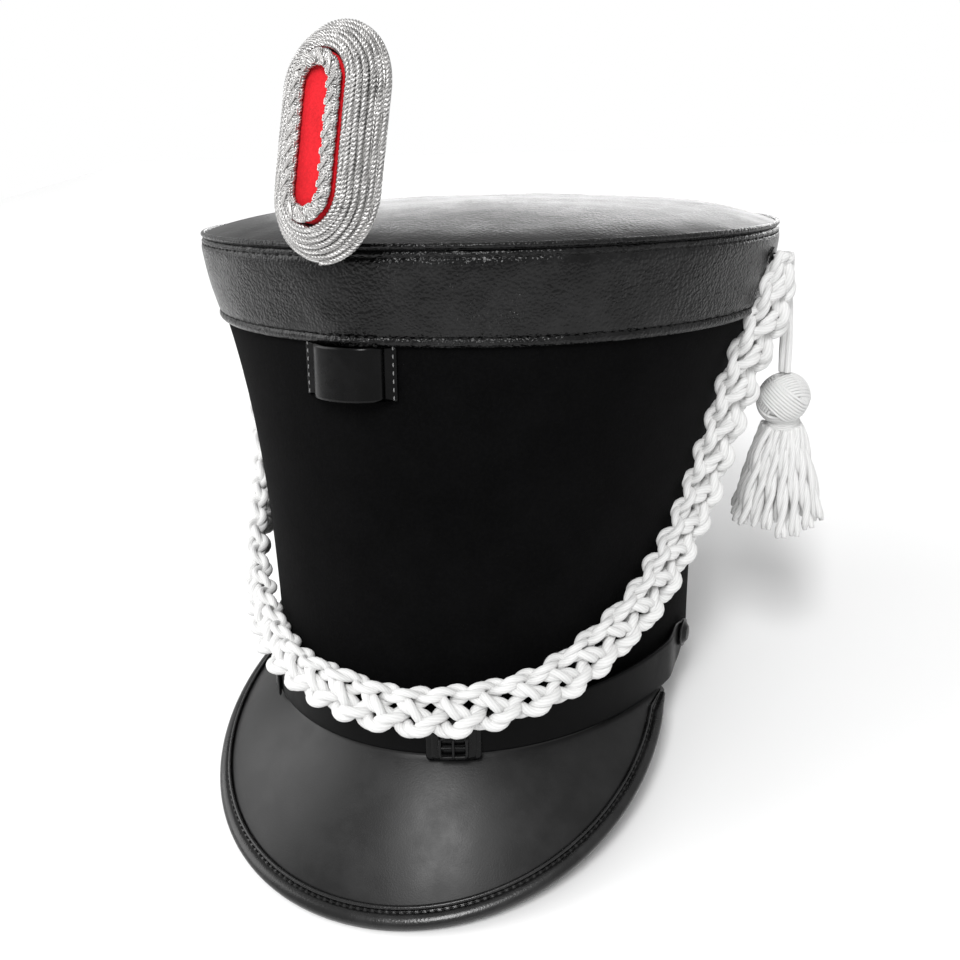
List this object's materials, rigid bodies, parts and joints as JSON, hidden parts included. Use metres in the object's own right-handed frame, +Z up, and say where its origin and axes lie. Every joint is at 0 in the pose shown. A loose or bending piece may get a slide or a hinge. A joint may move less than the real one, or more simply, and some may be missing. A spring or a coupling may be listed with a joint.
{
  "type": "shako hat",
  "caption": "Black felt parade shako with leather crown, band and peak, red and silver oval rosette, white plaited cord and tassel.",
  "frame": {"origin": "on the surface the hat rests on, under the middle of its box without the plaited cord and tassel", "axes": "-Y is the hat's front, +X the wearer's left, +Z up; the hat's own axis leans back 10.2 degrees about X, as it rests on its rear edge and its peak"},
  "size_m": [0.26, 0.305, 0.278],
  "materials": {
    "felt_black": "matt hard felt",
    "leather_grained": "pebbled grain, waxed",
    "leather_smooth": "smooth, satin",
    "leather_patent": "patent, glossy",
    "metal_black": "black lacquer",
    "cord_silver": "metal-wrapped thread, soft shine",
    "felt_red": "matt felt",
    "cord_white": "twisted cotton, matt"
  },
  "bodies": {
    "root": {"body_shell": "felt_black", "crown_top": "leather_grained", "crown_welt": "leather_grained", "top_band": "leather_grained", "rosette_back": "leather_grained", "plume_socket": "leather_smooth", "peak": "leather_smooth", "peak_binding": "leather_smooth", "chin_strap": "leather_smooth", "side_tab_left": "leather_smooth", "side_tab_right": "leather_smooth", "strap_keeper_front": "leather_patent", "strap_keeper_side": "leather_patent", "strap_buckle": "metal_black", "side_button_left": "metal_black", "side_button_right": "metal_black", "cord_stud_left": "metal_black", "cord_stud_right": "metal_black", "rosette_stem": "metal_black", "rosette_cord": "cord_silver", "rosette_gimp": "cord_silver", "rosette_field": "felt_red", "festoon": "cord_white", "tassel_cord": "cord_white", "tassel_knot": "cord_white", "tassel_fringe": "cord_white"}
  },
  "joints": []
}
